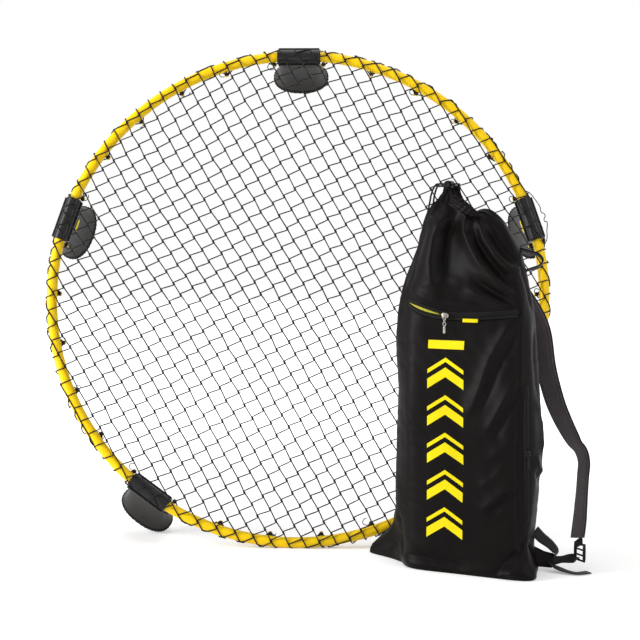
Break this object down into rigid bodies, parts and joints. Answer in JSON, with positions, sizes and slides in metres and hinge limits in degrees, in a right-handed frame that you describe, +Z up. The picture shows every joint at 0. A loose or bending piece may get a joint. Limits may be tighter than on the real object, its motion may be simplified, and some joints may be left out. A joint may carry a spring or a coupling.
{
  "type": "roundnet set",
  "caption": "Round net on a ring of yellow tubes with folding legs, leaned back, and a tall black drawstring carry bag with shoulder straps standing in front.",
  "frame": {"origin": "middle of the set's outline on the floor", "axes": "+Z up, +Y away from the front of the net, +X to the right when facing the net"},
  "size_m": [0.9656, 0.5558, 0.898],
  "materials": {
    "tube_yellow": "satin",
    "sleeve_black": "gloss",
    "net_black": "matt",
    "leg_grey": "satin",
    "foot_rubber": "matt",
    "bag_nylon": "woven nylon",
    "lining_yellow": "matt",
    "strap_grey": "matt",
    "webbing_black": "matt",
    "zip_tape": "matt",
    "tag_yellow": "matt",
    "buckle_black": "satin",
    "zip_metal": "polished",
    "cord_black": "braided"
  },
  "bodies": {
    "rim": {"rim_tube_1": "tube_yellow", "rim_tube_2": "tube_yellow", "rim_tube_3": "tube_yellow", "rim_tube_4": "tube_yellow", "rim_tube_5": "tube_yellow", "leg_sleeve_1": "sleeve_black", "leg_sleeve_2": "sleeve_black", "leg_sleeve_3": "sleeve_black", "leg_sleeve_4": "sleeve_black", "leg_sleeve_5": "sleeve_black", "net_strands_down": "net_black", "net_strands_up": "net_black", "net_edge_cord": "net_black"},
    "leg_1": {"leg_saddle_1": "leg_grey", "leg_foot_1": "leg_grey", "foot_rim_1": "foot_rubber"},
    "leg_2": {"leg_saddle_2": "leg_grey", "leg_foot_2": "leg_grey", "foot_rim_2": "foot_rubber"},
    "leg_3": {"leg_saddle_3": "leg_grey", "leg_foot_3": "leg_grey", "foot_rim_3": "foot_rubber"},
    "leg_4": {"leg_saddle_4": "leg_grey", "leg_foot_4": "leg_grey", "foot_rim_4": "foot_rubber"},
    "leg_5": {"leg_saddle_5": "leg_grey", "leg_foot_5": "leg_grey", "foot_rim_5": "foot_rubber"},
    "bag": {"bag_shell": "bag_nylon", "bag_base": "bag_nylon", "bag_collar": "bag_nylon", "pocket_panel": "bag_nylon", "pocket_lining": "lining_yellow", "front_zip_tape": "zip_tape", "side_zip_tape": "zip_tape", "pocket_tag": "tag_yellow", "strap_right": "strap_grey", "strap_left": "strap_grey", "strap_yoke": "webbing_black", "webbing_right": "webbing_black", "webbing_left": "webbing_black", "anchor_right": "webbing_black", "anchor_left": "webbing_black", "side_loop": "webbing_black", "drawstring": "cord_black", "ladder_right": "buckle_black", "ladder_left": "buckle_black"},
    "cord_lock": {"cord_lock_body": "buckle_black"},
    "lock_button": {"cord_lock_button": "buckle_black"},
    "front_zip_slider": {"front_slider": "zip_metal"},
    "front_zip_puller": {"front_puller": "zip_metal"},
    "side_zip_slider": {"side_slider": "buckle_black"},
    "side_zip_puller": {"side_puller": "buckle_black"}
  },
  "joints": [
    {"name": "leg_1_fold", "type": "hinge", "parent": "rim", "child": "leg_1", "pos_m": [-0.02035, 0.14283, 0.88114], "axis": [-1, 0, 0], "range_deg": [-15.6, 70]},
    {"name": "leg_2_fold", "type": "hinge", "parent": "rim", "child": "leg_2", "pos_m": [-0.44385, 0.07623, 0.58074], "axis": [-0.309, -0.2058, -0.9285], "range_deg": [-14.1, 71.5]},
    {"name": "leg_3_fold", "type": "hinge", "parent": "rim", "child": "leg_3", "pos_m": [-0.28209, -0.03153, 0.09468], "axis": [0.809, -0.1272, -0.5739], "range_deg": [0, 85.6]},
    {"name": "leg_4_fold", "type": "hinge", "parent": "rim", "child": "leg_4", "pos_m": [0.24139, -0.03153, 0.09468], "axis": [0.809, 0.1272, 0.5739], "range_deg": [0, 85.6]},
    {"name": "leg_5_fold", "type": "hinge", "parent": "rim", "child": "leg_5", "pos_m": [0.40315, 0.07623, 0.58074], "axis": [-0.309, 0.2058, 0.9285], "range_deg": [-11.6, 74]},
    {"name": "bag_lift", "type": "slide", "parent": "rim", "child": "bag", "axis": [0, 0, 1], "range_m": [0, 0.7]},
    {"name": "cord_lock_slide", "type": "slide", "parent": "bag", "child": "cord_lock", "axis": [-0.9272, 0.3746, 0], "range_m": [-0.003, 0.008]},
    {"name": "lock_button_press", "type": "slide", "parent": "cord_lock", "child": "lock_button", "axis": [0.3746, 0.9272, 0], "range_m": [0, 0.004], "stiffness_N_per_m": 400, "springref_m": -0.003},
    {"name": "front_zip_slide", "type": "slide", "parent": "bag", "child": "front_zip_slider", "axis": [0.9272, -0.3746, 0], "range_m": [-0.045, 0.085]},
    {"name": "front_puller_swing", "type": "hinge", "parent": "front_zip_slider", "child": "front_zip_puller", "pos_m": [0.23002, -0.23122, 0.426], "axis": [-0.9272, 0.3746, 0], "range_deg": [0, 150]},
    {"name": "side_zip_slide", "type": "slide", "parent": "bag", "child": "side_zip_slider", "axis": [0, 0, 1], "range_m": [-0.105, 0.085]},
    {"name": "side_puller_swing", "type": "hinge", "parent": "side_zip_slider", "child": "side_zip_puller", "pos_m": [0.3651, -0.27343, 0.204], "axis": [-0.9593, -0.2823, 0], "range_deg": [0, 150]}
  ]
}
